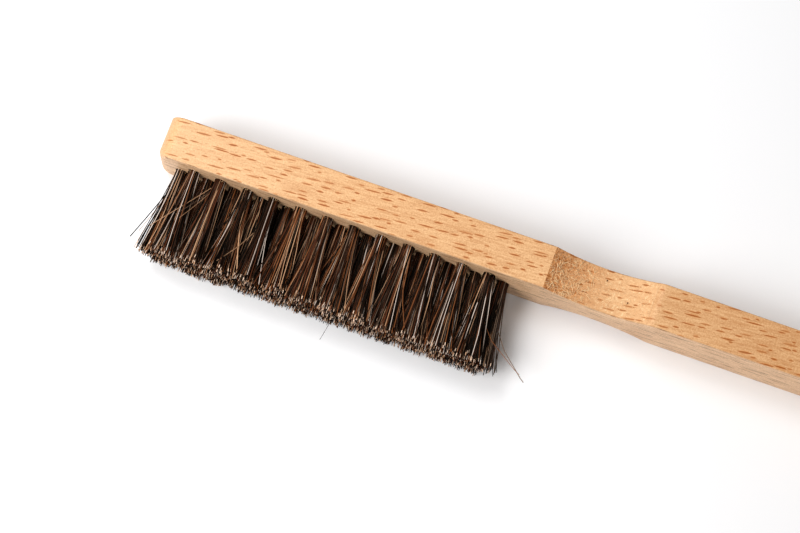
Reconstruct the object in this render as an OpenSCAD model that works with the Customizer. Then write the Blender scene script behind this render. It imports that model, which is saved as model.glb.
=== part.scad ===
// Body dry brush: a straight one-piece beech bar with three rows of horsehair tufts in its head,
// a neck between two milled scoops, and a long plain handle with a hanging hole.
// It lies on its narrow side. X runs from the tip of the head to the end of the handle, the bristles
// point to -Y, the back faces +Y, and Z is the width of the bar. Millimetres and degrees.

/* [Bar] */
// Length from the tip of the head to the end of the handle
overall_length = 264; // [230:1:400]
// Width of the bar, the same from end to end
bar_width = 20; // [18:0.5:24]
// Thickness of the head, from its back to the face that holds the bristles
head_thickness = 14; // [13:0.5:18]
// Thickness of the handle, which stands slightly proud of the head's front
handle_thickness = 14.4; // [14:0.1:19]
// Radius of the corners of both ends, seen from the back
end_radius = 5; // [3:0.5:9.5]
// Radius of the corner where each end turns into the front face
front_corner = 3; // [1:0.5:5]
// Radius of the corner where each end turns into the back
back_corner = 0.6; // [0.4:0.1:2]
// Radius of the four long edges
edge_radius = 0.7; // [0.4:0.1:1]

/* [Neck] */
// Length of the head, from the tip to the rim of the scoops
head_length = 127.5; // [126:0.5:140]
// Length of each scoop
scoop_length = 35; // [25:1:45]
// Depth of each scoop at its middle
scoop_depth = 4.8; // [2:0.1:6]
// Tilt of each scoop, which makes it deeper and wider at the back than at the front
scoop_tilt = 3.3; // [0:0.1:4]

/* [Hanging hole] */
// Diameter of the hole through the handle
hang_hole_d = 6; // [4:0.5:8]
// Distance from the hole's centre to the end of the handle
hang_hole_inset = 12; // [10:1:25]

/* [Tufts] */
// Tufts in the middle row
middle_count = 13; // [8:1:13]
// Tufts in each outer row, which are set half a step further in
outer_count = 12; // [7:1:12]
// Step between two tufts of a row
tuft_pitch = 8.9; // [8.5:0.1:9]
// Distance from the tip to the first tuft of the middle row
first_tuft = 8; // [7:0.1:9]
// Distance between two rows
row_spacing = 4.1; // [4:0.1:4.5]
// Diameter of a tuft hole
hole_d = 4.2; // [3.6:0.1:4.2]
// Depth of a tuft hole
hole_depth = 9; // [7:0.5:10]
// Length of the bristles outside the wood
bristle_length = 28; // [15:1:40]
// Diameter of a tuft at its trimmed end
tuft_tip_d = 5.8; // [4.4:0.1:5.8]
// Outward lean of the outer rows
row_lean = 3; // [0:0.5:4]
// Lean towards the tip at the first tuft of a row
tip_lean = 0; // [0:0.5:6]
// Lean towards the neck at the last tuft of a row
neck_lean = 4; // [0:0.5:8]

/* [Anchors] */
// Length of an anchor, which is wider than the hole and bites into the wood on both sides
anchor_length = 5.4; // [4.8:0.1:6]
// Height of an anchor, along the hole
anchor_height = 2; // [1.5:0.1:2.5]
// Thickness of the flat wire
anchor_wire = 0.35; // [0.3:0.05:0.5]
// Hair that is folded under the anchor, at the bottom of the hole
fold_thickness = 1.3; // [1:0.1:2]

/* [Hidden] */
$fn = 64;
slack = 1;
mouth_d = hole_d - 0.4;
beech = [0.91, 0.74, 0.53];
horsehair = [0.22, 0.15, 0.11];
steel = [0.75, 0.76, 0.78];

// The box around the brush is centred on the origin, and its underside is at z = 0.
tip_x = -overall_length / 2;
end_x = overall_length / 2;
back_y = (head_thickness + bristle_length) / 2;
head_front_y = back_y - head_thickness;
handle_front_y = back_y - handle_thickness;
bar_middle_y = back_y - handle_thickness / 2;
trim_y = -back_y;
neck_start_x = tip_x + head_length;
neck_end_x = neck_start_x + scoop_length;
neck_middle_x = (neck_start_x + neck_end_x) / 2;
scoop_radius = (scoop_depth * scoop_depth + scoop_length * scoop_length / 4) / (2 * scoop_depth);
middle_z = bar_width / 2;

// A row is [name, number of tufts, height of the row from the middle row in steps, first tuft].
ROWS = [
    ["upper", outer_count, 1, first_tuft + tuft_pitch / 2],
    ["middle", middle_count, 0, first_tuft],
    ["lower", outer_count, -1, first_tuft + tuft_pitch / 2]
];

function two_digits(n) = n < 10 ? str("0", n) : str(n);
function tuft_name(row, i) = str("tuft_", row[0], "_", two_digits(i + 1));
function anchors_name(row) = str("anchors_", row[0]);
function tuft_x(row, i) = tip_x + row[3] + i * tuft_pitch;
function tuft_z(row) = middle_z + row[2] * row_spacing;
function end_lean(row, i) = -tip_lean + (tip_lean + neck_lean) * i / (row[1] - 1);

// One corner of a square of side r, outside the quarter circle that rounds it.
// across and along are 1 or -1, and point from the corner into the material.
module corner_waste(x, y, r, across, along) {
    translate([x, y]) difference() {
        translate([across > 0 ? -slack : -r, along > 0 ? -slack : -r]) square(r + slack);
        translate([across * r, along * r]) circle(r);
    }
}

// The bar seen from its narrow side, in X and Y, with its four corners rounded.
module side_profile() {
    difference() {
        polygon([
            [tip_x, back_y],
            [tip_x, head_front_y],
            [neck_start_x, head_front_y],
            [neck_end_x, handle_front_y],
            [end_x, handle_front_y],
            [end_x, back_y]
        ]);
        corner_waste(tip_x, head_front_y, front_corner, 1, 1);
        corner_waste(tip_x, back_y, back_corner, 1, -1);
        corner_waste(end_x, handle_front_y, front_corner, -1, 1);
        corner_waste(end_x, back_y, back_corner, -1, -1);
    }
}

// The bar seen from its back, in X and Z, with its round ends.
module back_outline() {
    translate([tip_x + end_radius, 0]) square([overall_length - 2 * end_radius, bar_width]);
    translate([tip_x, end_radius]) square([overall_length, bar_width - 2 * end_radius]);
    for (x = [tip_x + end_radius, end_x - end_radius], z = [end_radius, bar_width - end_radius])
        translate([x, z]) circle(end_radius);
}

// The bar cut across, in Y and Z, with its four long edges rounded.
module cross_section() {
    difference() {
        translate([handle_front_y, 0]) square([handle_thickness, bar_width]);
        corner_waste(handle_front_y, 0, edge_radius, 1, 1);
        corner_waste(handle_front_y, bar_width, edge_radius, 1, -1);
        corner_waste(back_y, 0, edge_radius, -1, 1);
        corner_waste(back_y, bar_width, edge_radius, -1, -1);
    }
}

// What the cutter takes out of one narrow side: side is 1 for the upper one and -1 for the lower.
module scoop(side) {
    floor_z = middle_z + side * (middle_z - scoop_depth);
    translate([neck_middle_x, bar_middle_y, floor_z]) rotate([90 - side * scoop_tilt, 0, 0])
        translate([0, side * scoop_radius, 0])
            cylinder(h = 4 * handle_thickness, r = scoop_radius, center = true, $fn = 256);
}

module wooden_bar() {
    intersection() {
        linear_extrude(bar_width) side_profile();
        translate([0, back_y, 0]) rotate([90, 0, 0]) linear_extrude(handle_thickness) back_outline();
        translate([tip_x, 0, 0]) rotate([90, 0, 90]) linear_extrude(overall_length) cross_section();
    }
}

// Puts its children at the mouth of tuft i of a row, with +Z pointing out of the hole.
module at_mouth(row, i) {
    translate([tuft_x(row, i), head_front_y, tuft_z(row)]) rotate([90, 0, 0]) children();
}

// A flat wire anchor, lying across the hole along the bar.
module anchor() {
    translate([-anchor_length / 2, -anchor_wire / 2, fold_thickness - hole_depth])
        cube([anchor_length, anchor_wire, anchor_height]);
}

module handle_block() {
    color(beech) difference() {
        wooden_bar();
        scoop(1);
        scoop(-1);
        for (row = ROWS) for (i = [0 : row[1] - 1]) at_mouth(row, i) {
            translate([0, 0, -hole_depth]) cylinder(h = hole_depth + slack, d = hole_d);
            anchor();
        }
        translate([end_x - hang_hole_inset, back_y + slack, middle_z]) rotate([90, 0, 0])
            cylinder(h = handle_thickness + 2 * slack, d = hang_hole_d);
    }
}

// A tuft fills its hole, leans a little and widens towards its end, which is trimmed level.
module tuft(row, i) {
    color(horsehair) difference() {
        at_mouth(row, i) {
            translate([0, 0, -hole_depth]) cylinder(h = hole_depth, d = hole_d);
            rotate([-row[2] * row_lean, end_lean(row, i), 0]) translate([0, 0, -slack])
                cylinder(h = bristle_length + 2 * slack, d1 = mouth_d, d2 = tuft_tip_d);
        }
        translate([tip_x - bar_width, trim_y - 2 * slack - bar_width, -bar_width])
            cube([overall_length, bar_width + 2 * slack, 3 * bar_width]);
        at_mouth(row, i) anchor();
    }
}

module anchors(row) {
    color(steel) for (i = [0 : row[1] - 1]) at_mouth(row, i) anchor();
}

handle_block();
for (row = ROWS) for (i = [0 : row[1] - 1])
    tuft(row, i);
for (row = ROWS)
    anchors(row);
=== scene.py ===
"""Body dry brush: a one-piece beech bar with three rows of dark horsehair tufts.

The bar lies on its narrow side. X runs from the tip of the head to the end of the handle, the
bristles point to -Y, the back faces +Y and Z is the width of the bar. Blender units are metres.
"""
import math
import bmesh
import bpy
from mathutils import Matrix, Vector


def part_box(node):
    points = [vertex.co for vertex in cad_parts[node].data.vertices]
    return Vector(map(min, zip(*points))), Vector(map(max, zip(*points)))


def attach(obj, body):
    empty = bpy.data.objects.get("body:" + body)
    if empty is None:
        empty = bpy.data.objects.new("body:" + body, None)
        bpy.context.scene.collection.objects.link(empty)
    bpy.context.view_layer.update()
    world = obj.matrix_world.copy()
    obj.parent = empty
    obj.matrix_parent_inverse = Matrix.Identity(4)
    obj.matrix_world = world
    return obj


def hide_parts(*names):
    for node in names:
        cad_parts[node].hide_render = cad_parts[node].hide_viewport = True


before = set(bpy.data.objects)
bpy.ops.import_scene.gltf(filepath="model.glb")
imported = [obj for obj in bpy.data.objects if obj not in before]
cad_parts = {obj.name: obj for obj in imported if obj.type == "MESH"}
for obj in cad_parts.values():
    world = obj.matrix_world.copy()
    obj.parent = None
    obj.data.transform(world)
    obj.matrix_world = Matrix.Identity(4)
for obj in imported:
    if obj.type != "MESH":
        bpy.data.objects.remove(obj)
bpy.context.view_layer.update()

MM = 0.001

# The bar, whose length, width and thickness come from the frame.
BAR_LOW, BAR_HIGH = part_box("handle_block")
TIP_X, END_X = BAR_LOW.x, BAR_HIGH.x
HANDLE_FRONT_Y, BACK_Y = BAR_LOW.y, BAR_HIGH.y
MIDDLE_Y = (HANDLE_FRONT_Y + BACK_Y) / 2
MIDDLE_Z = (BAR_LOW.z + BAR_HIGH.z) / 2
WIDTH = BAR_HIGH.z - BAR_LOW.z
HEAD_THICKNESS = 14 * MM
HEAD_FRONT_Y = BACK_Y - HEAD_THICKNESS
END_RADIUS = 5 * MM
EDGE_RADIUS = 0.6 * MM
FRONT_RADIUS = 3.0 * MM
BACK_RADIUS = 0.6 * MM
# How far from the tip the head's lower front edge is still well rounded.
LOWER_ROUNDING = 22 * MM

# The two scoops that make the neck.
NECK_START_X = TIP_X + 127.5 * MM
SCOOP_LENGTH = 35 * MM
SCOOP_DEPTH = 4.8 * MM
SCOOP_TILT = math.radians(3.3)
NECK_MIDDLE_X = NECK_START_X + SCOOP_LENGTH / 2
NECK_END_X = NECK_START_X + SCOOP_LENGTH
SCOOP_RADIUS = (SCOOP_DEPTH ** 2 + SCOOP_LENGTH ** 2 / 4) / (2 * SCOOP_DEPTH)
SHARP_RIM = 0.001 * MM
SOFT_RIM = 0.7 * MM
# The scorching fades over this length, and the torn fibres are long as far as the second place.
SCORCH_LENGTH = 0.7 * SCOOP_LENGTH
ROUGH_END_X = NECK_START_X + 14 * MM
# Two pin pits in the upper scoop, each at its x and y.
PIN_PITS = [(13.4 * MM, 17.3 * MM), (21.6 * MM, 12.2 * MM)]
PIN_PIT_DEPTH = 1.2 * MM
PIN_PIT_FLOOR_RADIUS = 0.2 * MM
PIN_PIT_TOP_RADIUS = 0.34 * MM
PIN_CUTTER_HEIGHT = 2 * MM

# The hanging hole, and the holes that the tufts are set in.
HANG_HOLE_RADIUS = 3 * MM
HANG_HOLE_INSET = 12 * MM
HANG_HOLE_CHAMFER = 0.8 * MM
HOLE_RADIUS = 2.1 * MM
HOLE_DEPTH = 9 * MM
ROWS = {"upper": 12, "middle": 13, "lower": 12}

# The hair.
HAIRS_IN_TUFT = 140
HAIR_RADIUS = 0.14 * MM
FREE_LENGTH = 28 * MM
# A single loose hair is folded too, and its other half stays hidden in the tuft at this length.
HIDDEN_LENGTH = 26 * MM

# How finely the bar's mesh is divided.
STATION_STEP = 1 * MM
SHARP_RIM_STEP = 0.05 * MM
SOFT_RIM_ZONE = 4 * MM
END_STEPS, CORNER_STEPS, RIM_STEPS, WALL_STEPS = 4, 12, 6, 10
LAYERS = 2 * (RIM_STEPS + 1) + WALL_STEPS - 1
HOLE_SIDES, HANG_HOLE_SIDES, PIN_PIT_SIDES = 32, 64, 12
CHAMFER_STEPS = 5
MERGE_DISTANCE = 0.002 * MM
SHORTEST_EDGE = 0.001 * MM
SHARP_ANGLE = math.radians(26)

# The camera looks down at the head from the front, turned a little to the handle's side.
CAMERA_AZIMUTH = math.radians(19.87)
CAMERA_ELEVATION = math.radians(73.78)
CAMERA_DISTANCE = 1.0
CAMERA_TARGET = Vector((-0.04905, 0.0011, 0.010))
CAMERA_SENSOR = 36
CAMERA_LENS = 144.5

# The room's own light, its strength, and the two soft lamps.
ROOM_COLOUR = (1.0, 0.99, 0.98, 1)
ROOM_STRENGTH = 0.285
LAMPS = [
    # name, place, target, size, power
    ("window", (-0.46, -0.33, 0.52), (-0.22, -0.03, 0.01), 0.48, 5.3),
    ("sky_panel", (-0.42, 0.26, 0.85), (-0.20, 0.0, 0.01), 0.45, 4.0),
]
TABLE_REACH = 3.0
TABLE_COLOUR = (0.93, 0.93, 0.94, 1)


# ---------------------------------------------------------------- node tools

class Formula:
    """A node's output that takes part in sums, so that a node tree reads like arithmetic."""

    def __init__(self, tree, socket):
        self.tree = tree
        self.socket = socket

    def math(self, operation, *others):
        node = self.tree.nodes.new("ShaderNodeMath")
        node.operation = operation
        for slot, value in zip(node.inputs, (self, *others)):
            plug(self.tree, slot, value)
        return Formula(self.tree, node.outputs[0])

    def __add__(self, other):
        return self.math("ADD", other)

    def __sub__(self, other):
        return self.math("SUBTRACT", other)

    def __mul__(self, other):
        return self.math("MULTIPLY", other)

    def __truediv__(self, other):
        return self.math("DIVIDE", other)

    def power(self, other):
        return self.math("POWER", other)

    def least(self, other):
        return self.math("MINIMUM", other)

    def most(self, other):
        return self.math("MAXIMUM", other)

    def above(self, other):
        return self.math("GREATER_THAN", other)

    def sine(self):
        return self.math("SINE")

    def cosine(self):
        return self.math("COSINE")

    def size(self):
        return self.math("ABSOLUTE")

    def whole(self):
        return self.math("FLOOR")


def plug(tree, slot, value):
    """Links a formula into a socket, or sets the socket to a plain value."""
    if isinstance(value, Formula):
        tree.links.new(value.socket, slot)
    else:
        slot.default_value = value


def add_node(tree, kind, settings=None, **inputs):
    """Adds a node. settings are its properties, and inputs its sockets, with _ for a space."""
    node = tree.nodes.new(kind)
    for name, value in (settings or {}).items():
        setattr(node, name, value)
    for name, value in inputs.items():
        plug(tree, node.inputs[name.replace("_", " ")], value)
    return node


def out(tree, node, name=0):
    return Formula(tree, node.outputs[name])


def clamp(value):
    return value.most(0.0).least(1.0)


SOCKET_KINDS = {
    int: "NodeSocketInt",
    float: "NodeSocketFloat",
    tuple: "NodeSocketVector",
    type(None): "NodeSocketMaterial",
}


def new_geometry_tree(name, sockets):
    """A geometry tree with named inputs. sockets is {name: default}, and a material has no default."""
    tree = bpy.data.node_groups.new(name, "GeometryNodeTree")
    face = tree.interface
    face.new_socket("Geometry", in_out="OUTPUT", socket_type="NodeSocketGeometry")
    face.new_socket("Geometry", in_out="INPUT", socket_type="NodeSocketGeometry")
    for label, value in sockets.items():
        made = face.new_socket(label, in_out="INPUT", socket_type=SOCKET_KINDS[type(value)])
        if value is not None:
            made.default_value = value
    return tree


def tree_inputs(tree):
    """The named inputs of a geometry tree."""
    group = tree.nodes.new("NodeGroupInput")
    return {socket.name: Formula(tree, socket) for socket in group.outputs if socket.name}


def end_tree(tree, geometry):
    result = tree.nodes.new("NodeGroupOutput")
    tree.links.new(geometry.socket, result.inputs["Geometry"])
    return tree


def realized(tree, geometry):
    return out(tree, add_node(tree, "GeometryNodeRealizeInstances", Geometry=geometry))


def set_material(tree, geometry, material, where=True):
    return out(tree, add_node(
        tree, "GeometryNodeSetMaterial", Geometry=geometry, Selection=where, Material=material,
    ))


def tubes_along(tree, curves, radius, scale=1.0):
    """Three-sided tubes with closed ends along curves."""
    ring = add_node(tree, "GeometryNodeCurvePrimitiveCircle", Resolution=3, Radius=radius)
    return out(tree, add_node(
        tree, "GeometryNodeCurveToMesh",
        Curve=curves, Profile_Curve=out(tree, ring), Scale=scale, Fill_Caps=True,
    ))


def random_value(tree, low, high, key, seed):
    """A random number for each key, the same on every run."""
    node = tree.nodes.new("FunctionNodeRandomValue")
    node.data_type = "FLOAT"
    for label, value in (("Min", low), ("Max", high), ("ID", key), ("Seed", seed)):
        slot = [socket for socket in node.inputs if socket.name == label and socket.enabled][0]
        plug(tree, slot, value)
    return Formula(tree, [socket for socket in node.outputs if socket.enabled][0])


def stored(tree, geometry, name, value):
    """Keeps a number on each point, for a later node to read by name."""
    return out(tree, add_node(
        tree, "GeometryNodeStoreNamedAttribute", {"data_type": "FLOAT", "domain": "POINT"},
        Geometry=geometry, Name=name, Value=value,
    ))


def recalled(tree, name):
    node = add_node(tree, "GeometryNodeInputNamedAttribute", {"data_type": "FLOAT"}, Name=name)
    return Formula(tree, [socket for socket in node.outputs if socket.enabled][0])


# ---------------------------------------------------------------- objects and meshes

def add_object(name, data):
    """Puts a mesh, a lamp or a camera into the scene."""
    made = bpy.data.objects.new(name, data)
    bpy.context.scene.collection.objects.link(made)
    return made


def evaluated_mesh(piece):
    """A plain mesh of a piece with its modifiers applied."""
    graph = bpy.context.evaluated_depsgraph_get()
    graph.update()
    return bpy.data.meshes.new_from_object(piece.evaluated_get(graph), depsgraph=graph)


def grow(tree, name, mesh, values):
    """Runs a geometry tree on a mesh and returns the result as a plain object."""
    carrier = add_object("carrier", mesh)
    modifier = carrier.modifiers.new("grow", "NODES")
    modifier.node_group = tree
    identifiers = {
        item.name: item.identifier
        for item in tree.interface.items_tree
        if item.item_type == "SOCKET" and item.in_out == "INPUT"
    }
    for label, value in values.items():
        modifier[identifiers[label]] = value
    grown = evaluated_mesh(carrier)
    bpy.data.objects.remove(carrier)
    grown.name = name
    return add_object(name, grown)


def finished(mesh, name):
    """Turns a bmesh into a mesh."""
    made = bpy.data.meshes.new(name)
    mesh.to_mesh(made)
    mesh.free()
    return made


def quarter(steps):
    """Angles from 0 to a quarter turn."""
    return [math.pi / 2 * i / steps for i in range(steps + 1)]


def full_turn(steps):
    """Angles round a full turn, without its end."""
    return [2 * math.pi * i / steps for i in range(steps)]


def smooth(value):
    """Goes gently from 0 at 0 to 1 at 1."""
    value = min(max(value, 0.0), 1.0)
    return value * value * (3 - 2 * value)


def lathe(mesh, middle, profile, steps):
    """Turns a closed solid round an axis along Y. profile is a list of (y, radius)."""
    rings = []
    for y, radius in profile:
        rings.append([
            mesh.verts.new(middle + Vector((radius * math.cos(t), y, radius * math.sin(t))))
            for t in full_turn(steps)
        ])
    for low, high in zip(rings, rings[1:]):
        for i in range(steps):
            k = (i + 1) % steps
            mesh.faces.new([low[i], low[k], high[k], high[i]])
    mesh.faces.new(rings[0][::-1])
    mesh.faces.new(rings[-1])


# ---------------------------------------------------------------- beech

def linear(red, green, blue):
    """A colour given in the usual 0 to 255 display values, as linear light."""
    def one(value):
        value /= 255
        return value / 12.92 if value <= 0.04045 else ((value + 0.055) / 1.055) ** 2.4
    return (one(red), one(green), one(blue), 1.0)


# Each kind of surface lies between a deep and a pale tone.
SIDE_DEEP, SIDE_PALE = linear(200, 143, 91), linear(235, 188, 136)
FACE_DEEP, FACE_PALE = linear(196, 152, 112), linear(236, 197, 156)
END_DEEP, END_PALE = linear(186, 134, 90), linear(222, 176, 130)
# The whiter tone of a painted sheen, which pales the narrow sides towards the tip.
TIP_SHEEN = linear(240, 204, 160)
MILLED = linear(236, 186, 136)
SCORCHED = linear(222, 140, 66)
CHARRED = linear(150, 76, 20)
RAISED = linear(252, 218, 168)
FACE_LINE = linear(112, 68, 34)
FLECK_EDGE = linear(216, 134, 56)
FLECK = linear(150, 74, 6)
LOOSE_FIBRE = linear(255, 220, 168)
# The grain runs slightly askew to the bar.
GRAIN_SLANT = math.radians(-4.5)
# Where the wood begins to darken towards the handle and a painted sheen begins to pale it towards
# the tip, and how far each change reaches, all in millimetres along the bar.
HANDLE_DARK_START, HANDLE_DARK_LENGTH = 8, 60
SHEEN_START, SHEEN_LENGTH = -66, -50
# Flecks and lines in millimetres: their cell along and across, shortest and longest, width.
BOLD_FLECKS = ((6.2, 2.2), (0.8, 3.4), 0.27)
SMALL_FLECKS = ((3.1, 1.5), (0.3, 1.0), 0.16)
FACE_LINES = ((12.0, 1.9), (1.5, 6.5), 0.24)


def new_material(name, rough, specular=0.5, **settings):
    """A material with a Principled shader. Returns the material, its tree and the shader."""
    material = bpy.data.materials.new(name)
    material.use_nodes = True
    shader = material.node_tree.nodes["Principled BSDF"]
    shader.inputs["Roughness"].default_value = rough
    shader.inputs["Specular IOR Level"].default_value = specular
    for label, value in settings.items():
        shader.inputs[label.replace("_", " ")].default_value = value
    return material, material.node_tree, shader


def blend_colours(tree, share, low, high):
    """Mixes two colours, each a plain colour or another node's output."""
    node = add_node(tree, "ShaderNodeMix", {"data_type": "RGBA"})
    for index, value in ((0, share), (6, low), (7, high)):
        plug(tree, node.inputs[index], value)
    return out(tree, node, 2)


def noise(tree, place, scale=1.0, detail=2.0, rough=0.5):
    node = add_node(
        tree, "ShaderNodeTexNoise", Vector=place, Scale=scale, Detail=detail, Roughness=rough,
    )
    return out(tree, node, "Fac")


def stretched(tree, grain, lengthwise, crosswise):
    """A place in space that makes a noise long along the grain and short across it."""
    along, across, depth = grain
    return out(tree, add_node(
        tree, "ShaderNodeCombineXYZ", X=along * lengthwise, Y=across * crosswise, Z=depth * crosswise,
    ))


def fleck_layer(tree, along, across, cell, length, width):
    """Short dashes along the grain, in millimetres: how dark a place is, and its soft surroundings."""
    place = add_node(tree, "ShaderNodeCombineXYZ", X=along / cell[0], Y=across / cell[1])
    cells = add_node(
        tree, "ShaderNodeTexVoronoi", {"voronoi_dimensions": "2D", "feature": "F1"},
        Vector=out(tree, place), Scale=1.0,
    )
    seed = add_node(tree, "ShaderNodeSeparateColor", Color=out(tree, cells, "Color"))
    centre = add_node(tree, "ShaderNodeSeparateXYZ", Vector=out(tree, cells, "Position"))
    off_along = along - out(tree, centre, "X") * cell[0]
    off_across = across - out(tree, centre, "Y") * cell[1]
    reach = out(tree, seed, "Red").power(1.3) * (length[1] - length[0]) + length[0]
    taper = (off_along / reach).power(2.0) * -1 + 1
    taper = taper.most(0.0) * width
    strength = out(tree, seed, "Green") * 0.4 + 0.6
    core = clamp((taper - off_across.size()) / (width * 0.35)) * strength
    halo = clamp((taper * 1.9 - off_across.size()) / width) * strength
    return core, halo


def wood_place(tree):
    """A place in the wood in millimetres, whole and as along, across and through the grain."""
    place = add_node(tree, "ShaderNodeTexCoord")
    turned = add_node(tree, "ShaderNodeMapping", Vector=out(tree, place, "Object"))
    turned.inputs["Scale"].default_value = (1 / MM, 1 / MM, 1 / MM)
    turned.inputs["Rotation"].default_value = (0, 0, GRAIN_SLANT)
    split = add_node(tree, "ShaderNodeSeparateXYZ", Vector=out(tree, turned))
    return out(tree, turned), [out(tree, split, axis) for axis in "XYZ"]


def surface_shares(tree):
    """How far a place faces an end, the front or the back, and a narrow side."""
    place = add_node(tree, "ShaderNodeTexCoord")
    facing = add_node(tree, "ShaderNodeSeparateXYZ", Vector=out(tree, place, "Normal"))
    ends, faces, sides = (out(tree, facing, axis).size() for axis in "XYZ")
    return clamp(ends * 2.0 - 0.5), clamp(faces * 2.5 - 1.2), clamp(sides * 2.5 - 1.2)


def plain_wood(tree, grain, mottle, on_end, on_face):
    """The wood's tone: darker towards the handle, and paler at the tip with a painted sheen."""
    along = grain[0]
    streak = noise(tree, stretched(tree, grain, 0.10, 1.6), 1.0, 3.0, 0.6)
    cloud = noise(tree, stretched(tree, grain, 0.05, 0.3))
    tone = clamp((streak - 0.5) * 1.9 + (mottle - 0.5) * 3.0 + (cloud - 0.5) * 0.7 + 0.5)
    # The narrow sides turn darker towards the handle.
    handle_dark = clamp((along - HANDLE_DARK_START) / HANDLE_DARK_LENGTH) * 0.22
    # Painted sheen: the narrow sides turn paler and whiter towards the tip.
    painted_sheen = clamp((along - SHEEN_START) / SHEEN_LENGTH) * 0.22
    side_tone = blend_colours(tree, clamp(tone - handle_dark), SIDE_DEEP, SIDE_PALE)
    side_tone = blend_colours(tree, painted_sheen, side_tone, TIP_SHEEN)
    face_tone = blend_colours(tree, tone, FACE_DEEP, FACE_PALE)
    colour = blend_colours(tree, on_face, side_tone, face_tone)
    rings = noise(tree, stretched(tree, grain, 0.3, 2.4), 1.0, 3.0, 0.7)
    end_tone = blend_colours(tree, clamp(rings * 3.0 - 1.0), END_DEEP, END_PALE)
    return blend_colours(tree, on_end * 0.6, colour, end_tone)


def milled_wood(tree, spot, torn, on_face, colour):
    """The rough, scorched wood of the scoops. Returns its share and the colour with it."""
    milled = out(tree, add_node(tree, "ShaderNodeAttribute", {"attribute_name": "milled"}), "Fac")
    rough_cut = clamp(milled * 4.0 - 1.0 - on_face * 3.0)
    scorch = clamp(milled * 2.0 - 1.0) * rough_cut
    dark = clamp((torn - 0.45) * 7.0)
    pale = clamp((noise(tree, spot, 1.0, 4.0, 0.8) - 0.54) * 10.0) * rough_cut
    colour = blend_colours(tree, rough_cut * 0.5, colour, MILLED)
    colour = blend_colours(tree, scorch * 0.6, colour, SCORCHED)
    colour = blend_colours(tree, scorch * dark * 0.85, colour, CHARRED)
    return rough_cut, blend_colours(tree, pale * 0.7, colour, RAISED)


def flecked_wood(tree, grain, on_face, on_side, colour):
    """Ray flecks on the narrow sides and thin lines on the front and back, in wandering rows."""
    along, across, depth = grain
    wander = noise(tree, stretched(tree, grain, 0.02, 0.12)) - 0.5
    bold, edge = fleck_layer(tree, along, across + wander * 3, *BOLD_FLECKS)
    small, _ = fleck_layer(tree, along + 40, across + wander * 3 + 11, *SMALL_FLECKS)
    thin, _ = fleck_layer(tree, along + 17, depth + wander * 5, *FACE_LINES)
    flecks = clamp(bold + small * 0.4) * on_side
    colour = blend_colours(tree, thin * on_face * 0.95, colour, FACE_LINE)
    colour = blend_colours(tree, edge * on_side * 0.55, colour, FLECK_EDGE)
    return flecks, blend_colours(tree, flecks * 0.9, colour, FLECK)


def beech_material():
    """Steamed beech with its flecks, end grain, open pores and milled places."""
    material, tree, shader = new_material("beech", 0.45, 0.32)
    spot, grain = wood_place(tree)
    on_end, on_face, on_side = surface_shares(tree)
    mottle = noise(tree, spot, 1.9, 4.0, 0.75)
    torn = noise(tree, spot, 1.5, 4.0, 0.8)
    colour = plain_wood(tree, grain, mottle, on_end, on_face)
    rough_cut, colour = milled_wood(tree, spot, torn, on_face, colour)
    flecks, colour = flecked_wood(tree, grain, on_face, on_side, colour)
    pores = noise(tree, stretched(tree, grain, 0.35, 4.0), 1.0, 3.0, 0.6)
    height = pores * 0.03 + rough_cut * torn * 0.22 - flecks * 0.02
    bump = add_node(tree, "ShaderNodeBump", Strength=1.0, Distance=MM, Height=height)
    gloss = rough_cut * 0.25 + (mottle - 0.5) * 0.15 + 0.44
    plug(tree, shader.inputs["Base Color"], colour)
    plug(tree, shader.inputs["Normal"], out(tree, bump, "Normal"))
    plug(tree, shader.inputs["Roughness"], gloss)
    return material


# ---------------------------------------------------------------- horsehair and steel

HAIR_SHADES = [
    # name, colour, roughness, specular, share of the hairs
    ("hair_black", (11, 6, 3), 0.42, 0.14, 0.40),
    ("hair_dark_brown", (46, 24, 12), 0.40, 0.28, 0.23),
    ("hair_rust", (92, 44, 18), 0.39, 0.35, 0.12),
    ("hair_chestnut", (138, 80, 40), 0.38, 0.45, 0.08),
    ("hair_taupe", (122, 98, 80), 0.36, 0.5, 0.05),
    ("hair_tan", (202, 156, 118), 0.36, 0.5, 0.075),
    ("hair_grey", (228, 210, 196), 0.34, 0.5, 0.045),
]
HAIR_GLINT = (1.0, 0.82, 0.66, 1.0)
# The pale ends of some hairs: partly the paler cut hair, partly a painted highlight where the trimmed
# ends catch the light.
PALE_END_AND_HIGHLIGHT = linear(255, 222, 194)
STEEL_DEEP, STEEL_PALE = linear(168, 168, 172), linear(206, 206, 210)


def hair_materials():
    """One material for each natural shade of horsehair, and one for the pale ends, partly the paler
    cut hair and partly a painted highlight.
    """
    made = {}
    for name, colour, rough, specular, _ in HAIR_SHADES:
        made[name], _, shader = new_material(name, rough, specular)
        shader.inputs["Base Color"].default_value = linear(*colour)
        shader.inputs["Specular Tint"].default_value = HAIR_GLINT
    made["hair_pale_end_and_highlight"], _, shader = new_material("hair_pale_end_and_highlight", 0.6, 0.3)
    shader.inputs["Base Color"].default_value = PALE_END_AND_HIGHLIGHT
    return made


def steel_material():
    """Drawn flat wire: fine lines along its length."""
    material, tree, shader = new_material("anchor_steel", 0.35, 0.5, Metallic=1.0)
    place = add_node(tree, "ShaderNodeTexCoord")
    drawn = add_node(tree, "ShaderNodeMapping", Vector=out(tree, place, "Object"))
    drawn.inputs["Scale"].default_value = (0.3 / MM, 12 / MM, 12 / MM)
    lines = noise(tree, out(tree, drawn))
    colour = blend_colours(tree, lines, STEEL_DEEP, STEEL_PALE)
    plug(tree, shader.inputs["Base Color"], colour)
    plug(tree, shader.inputs["Roughness"], lines * 0.3 + 0.22)
    return material


# ---------------------------------------------------------------- the bar's shape

def scoop_depth_at(y):
    """How deep a scoop is, which is more at the back than at the front."""
    return SCOOP_DEPTH + math.tan(SCOOP_TILT) * (y - MIDDLE_Y)


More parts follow.
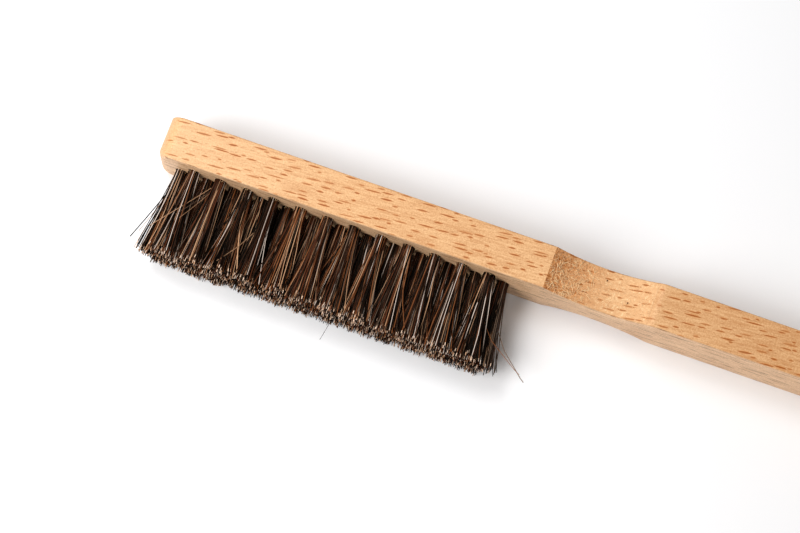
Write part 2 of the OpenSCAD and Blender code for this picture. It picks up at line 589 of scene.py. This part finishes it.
def scoop_reach_at(y):
    """How far a scoop reaches along the bar from its middle, which is more where it is deeper."""
    return math.sqrt(SCOOP_RADIUS ** 2 - (SCOOP_RADIUS - scoop_depth_at(y)) ** 2)


def half_width_at(x, y):
    """Half the bar's width where the scoops have narrowed it.

    Both rims run straight across. The one at the head is sharp and the one at the handle is soft.
    """
    away = x - NECK_MIDDLE_X
    if abs(away) >= SCOOP_LENGTH:
        return WIDTH / 2
    away *= scoop_reach_at(y) / (SCOOP_LENGTH / 2)
    cut = math.sqrt(max(SCOOP_RADIUS ** 2 - away ** 2, 0.0)) - (SCOOP_RADIUS - scoop_depth_at(y))
    soft = SOFT_RIM if away > 0 else SHARP_RIM
    blend = max(soft - abs(cut), 0.0) / soft
    return WIDTH / 2 - max(0.0, cut) - blend * blend * soft / 4


def milled_at(x):
    """1 at the rim near the head, where the cutter scorched most, 0.5 at the other, and else 0."""
    if x < NECK_START_X - SHARP_RIM_STEP / 2 or x > NECK_END_X - STATION_STEP:
        return 0.0
    return 1 - 0.5 * smooth((x - NECK_START_X) / SCORCH_LENGTH)


def outline_stations():
    """Points along the upper half of the bar's outline: x, height from the middle, and normal."""
    flat = WIDTH / 2 - END_RADIUS
    blunt = [(TIP_X, flat * i / END_STEPS, -1.0, 0.0) for i in range(END_STEPS)]
    corner = [
        (
            TIP_X + END_RADIUS * (1 - math.cos(turn)),
            flat + END_RADIUS * math.sin(turn),
            -math.cos(turn),
            math.sin(turn),
        )
        for turn in quarter(CORNER_STEPS)
    ]
    tip_end = blunt + corner
    handle_end = [(TIP_X + END_X - x, height, -out_x, out_z) for x, height, out_x, out_z in tip_end]
    stretches = [
        # where it ends, and its step
        (NECK_START_X - SHARP_RIM_STEP, STATION_STEP),
        (NECK_START_X, SHARP_RIM_STEP),
        (NECK_END_X - SOFT_RIM_ZONE, STATION_STEP),
        (NECK_END_X + SOFT_RIM_ZONE, STATION_STEP / 2),
        (END_X - END_RADIUS, STATION_STEP),
    ]
    straight = []
    start = TIP_X + END_RADIUS
    for stop, step in stretches:
        count = round((stop - start) / step)
        straight += [start + (stop - start) * i / count for i in range(1, count + 1)]
        start = stop
    straight = [(x, WIDTH / 2, 0.0, 1.0) for x in straight[:-1]]
    return tip_end + straight + handle_end[::-1]


def front_y_at(x):
    """The front face, which comes forward a little from the head to the handle."""
    share = smooth((x - NECK_START_X) / SCOOP_LENGTH)
    return HEAD_FRONT_Y + (HANDLE_FRONT_Y - HEAD_FRONT_Y) * share


def front_rim_at(x, out_x, side):
    """The front rim's radius: large round both ends, and long along the head's lower edge."""
    share = abs(out_x) ** 1.5
    if side < 0:
        share = max(share, 1 - smooth((x - TIP_X) / LOWER_ROUNDING))
    return EDGE_RADIUS + (FRONT_RADIUS - EDGE_RADIUS) * share


def bar_layers(x, out_x, side):
    """The layers of the side wall from front to back: y, and how far the outline draws in."""
    rim = front_rim_at(x, out_x, side)
    turns = quarter(RIM_STEPS)
    low = front_y_at(x) + rim
    high = BACK_Y - BACK_RADIUS
    front_rim = [(low - rim * math.cos(t), rim * (1 - math.sin(t))) for t in turns]
    wall = [(low + (high - low) * i / WALL_STEPS, 0.0) for i in range(1, WALL_STEPS)]
    back_rim = [(high + BACK_RADIUS * math.sin(t), BACK_RADIUS * (1 - math.cos(t))) for t in turns]
    return front_rim + wall + back_rim


def skin_points(mesh, stations):
    """The points of the bar's skin, as {(side, station, layer): point}."""
    milled = mesh.verts.layers.float.new("milled")
    skin = {}
    for side in (1, -1):
        for i, (x, height, out_x, out_z) in enumerate(stations):
            for j, (y, draw_in) in enumerate(bar_layers(x, out_x, side)):
                at_x = x - out_x * draw_in
                narrowed = half_width_at(at_x, y)
                half = max(min(height - out_z * draw_in, narrowed - draw_in), 0.0)
                vert = mesh.verts.new((at_x, y, MIDDLE_Z + side * half))
                vert[milled] = milled_at(x)
                skin[side, i, j] = vert
    return skin


def close_skin(mesh, skin, last):
    """Joins the skin's points: the wall, the front and back, and their rounded ends."""
    end = END_STEPS + CORNER_STEPS
    outer_layers = (0, LAYERS - 1)
    for i in range(last):
        for side in (1, -1):
            for j in range(LAYERS - 1):
                mesh.faces.new([
                    skin[side, i, j], skin[side, i + 1, j],
                    skin[side, i + 1, j + 1], skin[side, i, j + 1],
                ])
        if end <= i < last - end:
            for j in outer_layers:
                mesh.faces.new([skin[1, i, j], skin[1, i + 1, j], skin[-1, i + 1, j], skin[-1, i, j]])
    for j in outer_layers:
        mesh.faces.new(
            [skin[1, i, j] for i in range(end + 1)] + [skin[-1, i, j] for i in range(end, 0, -1)]
        )
        mesh.faces.new(
            [skin[1, i, j] for i in range(last - end, last + 1)]
            + [skin[-1, i, j] for i in range(last - 1, last - end - 1, -1)]
        )


def blank_mesh():
    """The bar before it is drilled: layers of its outline from the front face to the back."""
    mesh = bmesh.new()
    stations = outline_stations()
    close_skin(mesh, skin_points(mesh, stations), len(stations) - 1)
    bmesh.ops.remove_doubles(mesh, verts=mesh.verts, dist=MERGE_DISTANCE)
    bmesh.ops.dissolve_degenerate(mesh, edges=mesh.edges, dist=SHORTEST_EDGE)
    bmesh.ops.recalc_face_normals(mesh, faces=mesh.faces)
    return finished(mesh, "blank")


# ---------------------------------------------------------------- the bar's holes

def tuft_names():
    return [f"tuft_{row}_{i + 1:02d}" for row, count in ROWS.items() for i in range(count)]


def tuft_axis(name):
    """Where a tuft stands: the middle of its hole's mouth, and the middle of its trimmed end."""
    points = [v.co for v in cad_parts[name].data.vertices]
    trim = min(p.y for p in points)
    root = [p for p in points if p.y > HEAD_FRONT_Y + 2 * MM]
    end = [p for p in points if p.y < trim + 0.1 * MM]

    def middle(group, axis):
        values = [p[axis] for p in group]
        return (min(values) + max(values)) / 2
    mouth = Vector((middle(root, 0), HEAD_FRONT_Y, middle(root, 2)))
    tip = Vector((middle(end, 0), trim, middle(end, 2)))
    return mouth, tip


def drill_hanging_hole(mesh):
    """A straight hole with a chamfer at both mouths."""
    half = (BACK_Y - HANDLE_FRONT_Y) / 2
    wide = HANG_HOLE_RADIUS + HANG_HOLE_CHAMFER
    cuts = [HANG_HOLE_CHAMFER * math.sin(turn) for turn in quarter(CHAMFER_STEPS)]
    upper = [(half + MM, wide)] + [(half - cut, wide - cut) for cut in cuts]
    lower = [(-y, radius) for y, radius in upper]
    place = Vector((END_X - HANG_HOLE_INSET, MIDDLE_Y, MIDDLE_Z))
    lathe(mesh, place, lower + upper[::-1], HANG_HOLE_SIDES)


def drill_pin_pits(mesh):
    """Two small pits in the upper scoop, each wider at its top."""
    for x, y in PIN_PITS:
        floor = half_width_at(x, y) - PIN_PIT_DEPTH
        bmesh.ops.create_cone(
            mesh, cap_ends=True, segments=PIN_PIT_SIDES, depth=PIN_CUTTER_HEIGHT,
            radius1=PIN_PIT_FLOOR_RADIUS, radius2=PIN_PIT_TOP_RADIUS,
            matrix=Matrix.Translation((x, y, MIDDLE_Z + floor + PIN_CUTTER_HEIGHT / 2)),
        )


def drill_mesh():
    """Everything that is drilled out of the bar."""
    mesh = bmesh.new()
    for name in tuft_names():
        mouth, _ = tuft_axis(name)
        lathe(mesh, mouth, [(-MM, HOLE_RADIUS), (HOLE_DEPTH, HOLE_RADIUS)], HOLE_SIDES)
    drill_hanging_hole(mesh)
    drill_pin_pits(mesh)
    bmesh.ops.recalc_face_normals(mesh, faces=mesh.faces)
    return finished(mesh, "drills")


def make_bar():
    """The beech bar with everything drilled out of it."""
    blank = add_object("blank", blank_mesh())
    drills = add_object("drills", drill_mesh())
    cut = blank.modifiers.new("drill", "BOOLEAN")
    cut.object = drills
    cut.operation = "DIFFERENCE"
    cut.solver = "EXACT"
    drilled = evaluated_mesh(blank)
    bpy.data.objects.remove(blank)
    bpy.data.objects.remove(drills)
    drilled.name = "beech_bar"
    drilled.materials.clear()
    drilled.materials.append(beech_material())
    drilled.shade_smooth()
    drilled.set_sharp_from_angle(angle=SHARP_ANGLE)
    bar = add_object("beech_bar", drilled)
    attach(bar, "root")
    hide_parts("handle_block")
    return bar


# ---------------------------------------------------------------- the tufts

# Points from a hair's fold to each of its ends, and the last step's share of the length.
HALF_STEPS = 8
TIP_SHARE = 0.027
# Hairs that keep together as one strand.
STRAND_SIZE = 5
# Shares of the hole's radius: how far a strand is from its middle, and a hair from its strand.
STRAND_PLACE, OWN_PLACE = 0.75, 0.25
# Shares of the stray that a strand's hairs have together, and that each has alone.
STRAY_TOGETHER, STRAY_ALONE = 0.85, 0.45
# Hairs that draw more than this stray further alone, by so many times more.
WILD_ABOVE, WILD_EXTRA = 0.97, 3
# The gap that the anchor wire leaves between the two halves, and the length over which it opens.
WIRE_GAP = 0.15 * MM
OPENING = 2 * MM


def straight_strands(tree, count):
    """A bunch of straight curves, one for each hair, that all lie in the same place."""
    line = add_node(tree, "GeometryNodeCurvePrimitiveLine", End=(0, 0, 1))
    strand = add_node(
        tree, "GeometryNodeResampleCurve", Curve=out(tree, line), Count=2 * HALF_STEPS + 1,
    )
    dots = add_node(tree, "GeometryNodePoints", Count=count)
    copies = add_node(
        tree, "GeometryNodeInstanceOnPoints", Points=out(tree, dots), Instance=out(tree, strand),
    )
    return realized(tree, out(tree, copies))


def hair_path(tree, given, draw, hair, half, reach):
    """Where a point of a hair goes. reach is 0 at the fold and 1 at both trimmed ends."""
    last = 1 - 1 / HALF_STEPS
    body = (reach / last).least(1.0).power(1.35) * (1 - TIP_SHARE)
    share = body + (reach - last).most(0.0) * (HALF_STEPS * TIP_SHARE)
    sprung = (half - 1) * given["Single"] + 1
    free = given["Free Length"] * sprung - (sprung - 1) * HIDDEN_LENGTH
    free += draw(-1.0, 1.0, 1) * given["Trim Error"]
    fold = given["Fold Depth"] - draw(0.0, 0.9 * MM, 2, hair)
    axial = share * (free + fold) - fold
    out_share = (axial / given["Free Length"]).most(0.0)

    # Where the hair stands in the hole, in a strand of a few hairs on its own side of the wire.
    strand = (hair / STRAND_SIZE).whole() * 2 + half
    turn = draw(0.0, math.pi, 3, strand)
    distance = draw(0.0, 1.0, 4, strand).power(0.5) * given["Hole Radius"] * STRAND_PLACE
    own_turn = draw(-math.pi, math.pi, 50)
    own_distance = draw(0.0, 1.0, 51).power(0.5) * given["Hole Radius"] * OWN_PLACE
    root_x = distance * turn.cosine() + own_distance * own_turn.cosine()
    root_z = distance * turn.sine() + own_distance * own_turn.sine()
    root_z = root_z.most(WIRE_GAP) * (half * 2 - 1)
    opened = ((axial + fold) / OPENING).least(1.0)

    # Where it ends, and the way there.
    def wander(number):
        together = draw(-1.0, 1.0, number, strand) + draw(-1.0, 1.0, number + 1, strand)
        alone = draw(-1.0, 1.0, number + 2) + draw(-1.0, 1.0, number + 3)
        wild = draw(0.0, 1.0, number + 4).above(WILD_ABOVE) * WILD_EXTRA + 1
        return (together * STRAY_TOGETHER + alone * wild * STRAY_ALONE) * given["Stray"]

    def wave(number):
        height = draw(0.0, 1.0, number).power(2.0) * given["Wave"]
        swing = out_share * draw(2.0, 5.5, number + 1) + draw(0.0, 2 * math.pi, number + 2)
        return height * swing.sine() * out_share
    shift = add_node(tree, "ShaderNodeSeparateXYZ", Vector=given["Tip Shift"])
    tip_x = root_x * (given["Spread X"] - 1) + wander(10) + out(tree, shift, "X") * sprung
    tip_z = root_z * (given["Spread Z"] - 1) + wander(20) + out(tree, shift, "Z") * sprung
    bend = out_share.power(given["Bend"] * draw(0.9, 1.6, 7))
    mouth = add_node(tree, "ShaderNodeSeparateXYZ", Vector=given["Mouth"])
    x = out(tree, mouth, "X") + root_x + tip_x * bend + wave(30)
    y = out(tree, mouth, "Y") - axial
    z = out(tree, mouth, "Z") + root_z * opened + tip_z * bend + wave(40)
    z = z.most(given["Floor"] + draw(0.0, 1.2 * MM, 45))
    return out(tree, add_node(tree, "ShaderNodeCombineXYZ", X=x, Y=y, Z=z))


def paint_hairs(tree, geometry, given):
    """Gives each hair its shade, and the ends of some a pale colour: partly the paler cut hair, partly
    a painted highlight where they catch the light.

    A side face of the last step has half of what its end stores in pale_end_and_highlight, and the cap
    has all.
    """
    shade = recalled(tree, "shade")
    floor = 0.0
    for name, _, _, _, part in HAIR_SHADES:
        geometry = set_material(tree, geometry, given[name], shade.above(floor - 0.001))
        floor += part
    pale_end_and_highlight = recalled(tree, "pale_end_and_highlight")
    # Painted highlight in part: the chosen ends are painted tan or pale.
    for name, least in (("hair_tan", 0.2), ("hair_pale_end_and_highlight", 0.3)):
        geometry = set_material(tree, geometry, given[name], pale_end_and_highlight.above(least))
    return geometry


def bristle_tree():
    """A tuft of hairs, each folded in half over the anchor wire and trimmed at both ends."""
    tree = new_geometry_tree("bristle_tuft", {
        "Hairs": HAIRS_IN_TUFT, "Seed": 1, "Mouth": (0.0, 0.0, 0.0), "Tip Shift": (0.0, 0.0, 0.0),
        "Hole Radius": 2.0 * MM, "Fold Depth": 8.8 * MM, "Free Length": FREE_LENGTH,
        "Spread X": 2.1, "Spread Z": 1.3, "Stray": 1.6 * MM, "Wave": 0.8 * MM, "Bend": 1.0,
        "Trim Error": 1.25 * MM, "Hair Radius": HAIR_RADIUS, "Floor": 0.3 * MM, "Single": 0.0,
        **{name: None for name, *_ in HAIR_SHADES}, "hair_pale_end_and_highlight": None,
    })
    given = tree_inputs(tree)
    along = out(tree, add_node(tree, "GeometryNodeSplineParameter"), "Index") / (2 * HALF_STEPS)
    hair = out(tree, add_node(tree, "GeometryNodeCurveOfPoint"), "Curve Index")
    half = along.above(0.5)
    end = hair * 2 + half

    def draw(low, high, number, key=end):
        return random_value(tree, low, high, key, given["Seed"] * 50 + number)

    reach = (along * 2 - 1).size()
    path = hair_path(tree, given, draw, hair, half, reach)
    hairs = out(tree, add_node(
        tree, "GeometryNodeSetPosition",
        Geometry=straight_strands(tree, given["Hairs"]), Position=path,
    ))
    hairs = stored(tree, hairs, "shade", draw(0.0, 1.0, 5, hair))
    # Some ends are painted pale, partly for the paler cut hair and partly as a painted highlight.
    pale = draw(0.0, 1.0, 8)
    pale_end_and_highlight = reach.above(0.95) * (pale.above(0.83) + pale.above(0.87)) * 0.5
    hairs = stored(tree, hairs, "pale_end_and_highlight", pale_end_and_highlight)
    thickness = given["Hair Radius"] * draw(0.75, 1.25, 6, hair)
    hairs = out(tree, add_node(tree, "GeometryNodeSetCurveRadius", Curve=hairs, Radius=thickness))
    radius = out(tree, add_node(tree, "GeometryNodeInputRadius"))
    tubes = tubes_along(tree, hairs, 1.0, radius)
    rounded = out(tree, add_node(tree, "GeometryNodeSetShadeSmooth", Geometry=tubes))
    return end_tree(tree, paint_hairs(tree, realized(tree, rounded), given))


def make_tufts(tree, hair):
    """One bundle of bristles for each tuft of the frame."""
    for number, name in enumerate(tuft_names()):
        mouth, tip = tuft_axis(name)
        tuft = grow(tree, name.replace("tuft", "bristles"), bpy.data.meshes.new("empty"), {
            "Hairs": HAIRS_IN_TUFT,
            "Seed": number + 1,
            "Mouth": mouth,
            "Tip Shift": tip - mouth,
            **hair,
        })
        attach(tuft, "root")
        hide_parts(name)


LOOSE_HAIRS = [
    # tuft, seed, way out along X and Z, free length, bend, thickness, shade
    ("tuft_middle_01", 1, -7.4, 3.0, 26.5, 0.9, 1.1, "hair_black"),
    ("tuft_middle_01", 2, -5.4, 1.0, 23.0, 1.0, 0.6, "hair_tan"),
    ("tuft_upper_02", 3, -15.5, 5.0, 23.0, 0.8, 1.1, "hair_tan"),
    ("tuft_upper_02", 4, -9.5, 5.0, 17.0, 0.8, 0.55, "hair_taupe"),
    ("tuft_upper_02", 14, -8.0, 5.0, 17.0, 0.9, 0.5, "hair_tan"),
    ("tuft_upper_03", 5, 7.0, 4.0, 27.5, 1.0, 1.1, "hair_tan"),
    ("tuft_upper_04", 6, -8.5, 4.2, 24.5, 1.6, 0.9, "hair_tan"),
    ("tuft_upper_06", 7, -6.0, 4.2, 27.0, 1.1, 1.0, "hair_black"),
    ("tuft_middle_08", 8, -2.6, 0.0, 36.5, 3.0, 0.7, "hair_dark_brown"),
    ("tuft_middle_05", 15, 2.0, 0.0, 30.5, 1.6, 0.9, "hair_black"),
    ("tuft_lower_09", 16, 3.0, 0.0, 30.0, 1.6, 0.9, "hair_dark_brown"),
    ("tuft_upper_09", 9, 8.0, 4.0, 27.0, 1.2, 1.0, "hair_chestnut"),
    ("tuft_middle_13", 11, 17.0, 3.0, 29.5, 2.0, 0.9, "hair_taupe"),
    ("tuft_upper_12", 17, 20.0, 2.0, 28.0, 2.2, 0.8, "hair_chestnut"),
    ("tuft_middle_13", 12, 7.0, 2.0, 29.0, 1.5, 1.0, "hair_black"),
    ("tuft_lower_12", 13, 6.0, 1.0, 30.0, 1.3, 1.0, "hair_dark_brown"),
]


def make_loose_hairs(tree, hair):
    """Single hairs that have sprung out of the trim."""
    for number, (tuft, seed, way_x, way_z, free, bend, thick, shade) in enumerate(LOOSE_HAIRS):
        mouth, _ = tuft_axis(tuft)
        piece = grow(tree, f"loose_hair_{number + 1:02d}", bpy.data.meshes.new("empty"), {
            "Hairs": 1,
            "Seed": 100 + seed,
            "Mouth": mouth,
            "Tip Shift": Vector((way_x * MM, 0.0, way_z * MM)),
            "Free Length": free * MM,
            "Bend": bend,
            "Hole Radius": 0.5 * MM,
            "Spread X": 1.0,
            "Spread Z": 1.0,
            "Stray": 0.1 * MM,
            "Single": 1.0,
            "Hair Radius": HAIR_RADIUS * thick,
            **{name: hair[shade] for name in hair},
        })
        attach(piece, "root")


# ---------------------------------------------------------------- torn fibres and burrs

# How far the fibres keep from the rims of a scoop, so that they stay inside the bar's outline.
UPPER_RIM_MARGIN, LOWER_RIM_MARGIN = 0.8 * MM, 4 * MM
UPPER_FRONT_MARGIN, LOWER_FRONT_MARGIN = 1.5 * MM, 3 * MM
BACK_MARGIN = 2.5 * MM
BURR_WIDTH = 0.3 * MM
BURR_STEPS = 16


def fibre_tree():
    """Short curled wood fibres that stand on a surface. Its radius and curl go with their length."""
    tree = new_geometry_tree("wood_fibres", {
        "Density": 1.0e6, "Seed": 1, "Shortest": 0.5 * MM, "Longest": 1.5 * MM,
        "Radius": 0.04, "Curl": 0.07, "Lift": 0.35, "fibre": None,
    })
    given = tree_inputs(tree)
    spread = add_node(
        tree, "GeometryNodeDistributePointsOnFaces", {"distribute_method": "RANDOM"},
        Mesh=given["Geometry"], Density=given["Density"], Seed=given["Seed"],
    )
    middle = add_node(tree, "ShaderNodeCombineXYZ", X=0.5, Y=given["Curl"], Z=given["Lift"])
    tip = add_node(tree, "ShaderNodeCombineXYZ", X=1.0, Y=0.0, Z=given["Lift"] * 0.6)
    arc = add_node(
        tree, "GeometryNodeCurveQuadraticBezier",
        Resolution=4, Start=(0, 0, 0), Middle=out(tree, middle), End=out(tree, tip),
    )
    fibre = tubes_along(tree, out(tree, arc), given["Radius"])
    key = out(tree, add_node(tree, "GeometryNodeInputID"))
    size = random_value(tree, given["Shortest"], given["Longest"], key, given["Seed"] + 5)
    spin = random_value(tree, -math.pi, math.pi, key, given["Seed"] + 9)
    copies = add_node(
        tree, "GeometryNodeInstanceOnPoints",
        Points=out(tree, spread, "Points"), Instance=fibre,
        Rotation=out(tree, spread, "Rotation"), Scale=size,
    )
    turned = add_node(
        tree, "GeometryNodeRotateInstances", Instances=out(tree, copies),
        Rotation=out(tree, add_node(tree, "ShaderNodeCombineXYZ", Z=spin)),
    )
    return end_tree(tree, set_material(tree, realized(tree, out(tree, turned)), given["fibre"]))


def scoop_patch(bar, low_x, high_x):
    """The part of the milled scoops between two places along the bar, as a mesh of its own."""
    mesh = bmesh.new()
    mesh.from_mesh(bar.data)
    milled = mesh.verts.layers.float["milled"]

    def stays(face):
        middle = face.calc_center_median()
        upper = face.normal.z > 0
        front = HANDLE_FRONT_Y + (UPPER_FRONT_MARGIN if upper else LOWER_FRONT_MARGIN)
        rim = NECK_START_X + (UPPER_RIM_MARGIN if upper else LOWER_RIM_MARGIN)
        return (
            min(vert[milled] for vert in face.verts) >= 0.5
            and abs(face.normal.z) > 0.6
            and max(low_x, rim) <= middle.x < high_x
            and front < middle.y < BACK_Y - BACK_MARGIN
        )
    waste = [face for face in mesh.faces if not stays(face)]
    bmesh.ops.delete(mesh, geom=waste, context="FACES")
    return finished(mesh, "scoop_patch")


def mouth_rings():
    """Narrow rings round the mouths of the tuft holes, facing out of the wood."""
    mesh = bmesh.new()
    for name in tuft_names():
        mouth, _ = tuft_axis(name)
        inner, outer = (
            [
                mesh.verts.new(mouth + radius * Vector((math.cos(t), 0, math.sin(t))))
                for t in full_turn(BURR_STEPS)
            ]
            for radius in (HOLE_RADIUS, HOLE_RADIUS + BURR_WIDTH)
        )
        for i in range(BURR_STEPS):
            k = (i + 1) % BURR_STEPS
            mesh.faces.new([inner[i], outer[i], outer[k], inner[k]])
    for face in mesh.faces:
        if face.normal.y > 0:
            face.normal_flip()
    return finished(mesh, "mouth_rings")


def make_fibres(bar):
    """Torn fibres in the scoops, which the cutter left rough, and burrs round the tuft holes."""
    tree = fibre_tree()
    material, _, shader = new_material("torn_fibre", 0.7, 0.3)
    shader.inputs["Base Color"].default_value = LOOSE_FIBRE
    jobs = [
        # name, surface, fibres to the square millimetre, shortest, longest, lift
        ("torn_fibres_rim", scoop_patch(bar, NECK_START_X, ROUGH_END_X), 2.1, 0.5, 2.0, 0.13),
        ("torn_fibres_floor", scoop_patch(bar, ROUGH_END_X, NECK_END_X), 1.0, 0.4, 1.4, 0.08),
        ("mouth_burrs", mouth_rings(), 2.2, 0.4, 1.0, 1.0),
    ]
    for number, (name, surface, density, shortest, longest, lift) in enumerate(jobs):
        piece = grow(tree, name, surface, {
            "Density": density / MM ** 2,
            "Seed": number + 3,
            "Shortest": shortest * MM,
            "Longest": longest * MM,
            "Lift": lift,
            "fibre": material,
        })
        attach(piece, "root")


# ---------------------------------------------------------------- anchors and stage

def dress_anchors():
    """The anchors are the frame's own nodes, and only get their steel here."""
    steel = steel_material()
    for row in ROWS:
        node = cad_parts[f"anchors_{row}"]
        node.data.materials.clear()
        node.data.materials.append(steel)


def make_stage():
    """A plain white table top."""
    top = bpy.data.meshes.new("table_top")
    corners = [(-1, -1), (1, -1), (1, 1), (-1, 1)]
    top.from_pydata([(x * TABLE_REACH, y * TABLE_REACH, 0) for x, y in corners], [], [(0, 1, 2, 3)])
    material, _, shader = new_material("white_table", 0.6, 0.2)
    shader.inputs["Base Color"].default_value = TABLE_COLOUR
    top.materials.append(material)
    add_object("table_top", top)


def aim(thing, place, target):
    thing.location = place
    thing.rotation_euler = (Vector(target) - Vector(place)).to_track_quat("-Z", "Y").to_euler()


def make_lights():
    world = bpy.data.worlds.new("room")
    world.use_nodes = True
    background = world.node_tree.nodes["Background"]
    background.inputs["Color"].default_value = ROOM_COLOUR
    background.inputs["Strength"].default_value = ROOM_STRENGTH
    bpy.context.scene.world = world
    for name, place, target, size, power in LAMPS:
        lamp = bpy.data.lights.new(name, "AREA")
        lamp.shape = "SQUARE"
        lamp.size = size
        lamp.energy = power
        aim(add_object(name, lamp), place, target)


def make_camera():
    back = Vector((
        math.sin(CAMERA_AZIMUTH) * math.cos(CAMERA_ELEVATION),
        -math.cos(CAMERA_AZIMUTH) * math.cos(CAMERA_ELEVATION),
        math.sin(CAMERA_ELEVATION),
    ))
    data = bpy.data.cameras.new("camera")
    data.sensor_width = CAMERA_SENSOR
    data.lens = CAMERA_LENS
    camera = add_object("camera", data)
    aim(camera, CAMERA_TARGET + back * CAMERA_DISTANCE, CAMERA_TARGET)
    bpy.context.scene.camera = camera


make_camera()
make_stage()
make_lights()
make_fibres(make_bar())
tuft_tree, hair = bristle_tree(), hair_materials()
make_tufts(tuft_tree, hair)
make_loose_hairs(tuft_tree, hair)
dress_anchors()
bpy.context.scene.view_settings.view_transform = "Standard"
